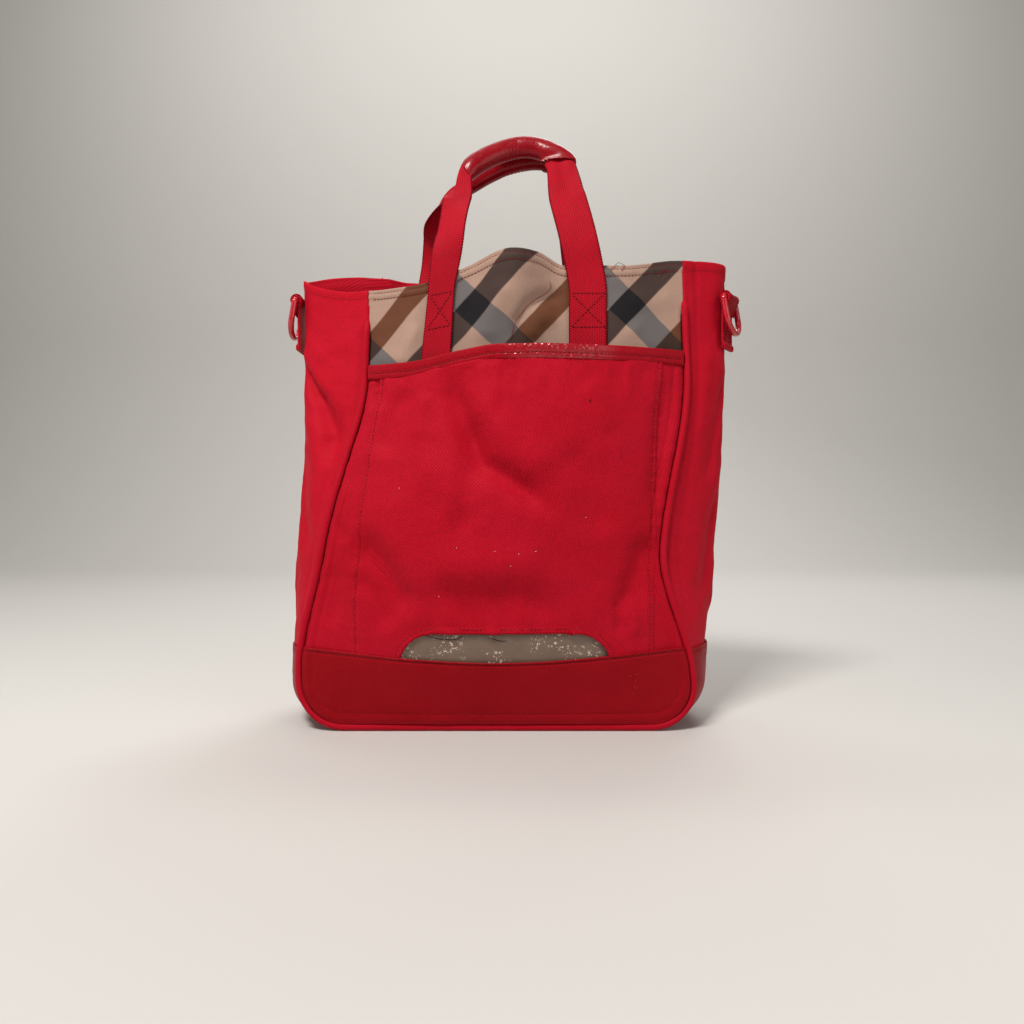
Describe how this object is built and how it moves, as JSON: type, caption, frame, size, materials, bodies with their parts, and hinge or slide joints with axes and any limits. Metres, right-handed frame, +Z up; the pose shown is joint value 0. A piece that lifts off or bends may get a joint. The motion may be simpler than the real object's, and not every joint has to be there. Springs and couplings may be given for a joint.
{
  "type": "tote bag",
  "caption": "Soft upright tote bag with a boxed side strip, a front slip pocket, webbing handles with leather grips and a plastic ring on each side fold.",
  "frame": {"origin": "middle of the flat base, on the surface that the bag stands on", "axes": "+Z up, the pocket side faces -Y, +X to the right as seen from the front"},
  "size_m": [0.3453, 0.1258, 0.4393],
  "materials": {
    "twill": "red nylon twill with a low sheen",
    "check_cloth": "bias check cloth, tan ground with brown and grey bands",
    "base_leather": "smooth dark red leather",
    "binding_leather": "glossy creased red leather",
    "webbing": "ribbed red webbing",
    "piping_cloth": "red twill over a round cord",
    "ring_plastic": "glossy red moulded plastic",
    "window_film": "worn taupe coated cloth",
    "lining_cloth": "plain dark red lining",
    "board": "stiff fibre board"
  },
  "bodies": {
    "bag": {"front_lower_wall": "twill", "front_check_panel": "check_cloth", "front_pocket_panel": "twill", "pocket_binding": "binding_leather", "window_patch": "window_film", "front_base_leather": "base_leather", "back_panel": "twill", "back_base_leather": "base_leather", "gusset_left": "twill", "gusset_right": "twill", "gusset_base_left": "base_leather", "gusset_base_right": "base_leather", "bottom_panel": "base_leather", "base_board": "board", "lining": "lining_cloth", "mouth_facing": "twill", "front_piping": "piping_cloth", "back_piping": "piping_cloth", "front_strap_end_left": "webbing", "front_strap_end_right": "webbing", "rear_strap_end_left": "webbing", "rear_strap_end_right": "webbing", "ring_tab_left": "webbing", "ring_tab_right": "webbing"},
    "front_handle": {"front_handle_webbing": "webbing", "front_grip": "binding_leather"},
    "rear_handle": {"rear_handle_webbing": "webbing", "rear_grip": "binding_leather"},
    "left_ring": {"ring_left": "ring_plastic"},
    "right_ring": {"ring_right": "ring_plastic"}
  },
  "joints": [
    {"name": "front_handle_fold", "type": "hinge", "parent": "bag", "child": "front_handle", "pos_m": [0.013, -0.0426, 0.312], "axis": [1, 0, 0], "range_deg": [0, 150]},
    {"name": "rear_handle_fold", "type": "hinge", "parent": "bag", "child": "rear_handle", "pos_m": [0.007, 0.0437, 0.312], "axis": [-1, 0, 0], "range_deg": [0, 170]},
    {"name": "left_ring_swing", "type": "hinge", "parent": "bag", "child": "left_ring", "pos_m": [-0.15306, 0, 0.315], "axis": [0, 1, 0], "range_deg": [0, 165]},
    {"name": "right_ring_swing", "type": "hinge", "parent": "bag", "child": "right_ring", "pos_m": [0.17365, -0.01091, 0.315], "axis": [-0.5673, -0.8235, 0], "range_deg": [0, 165]}
  ]
}
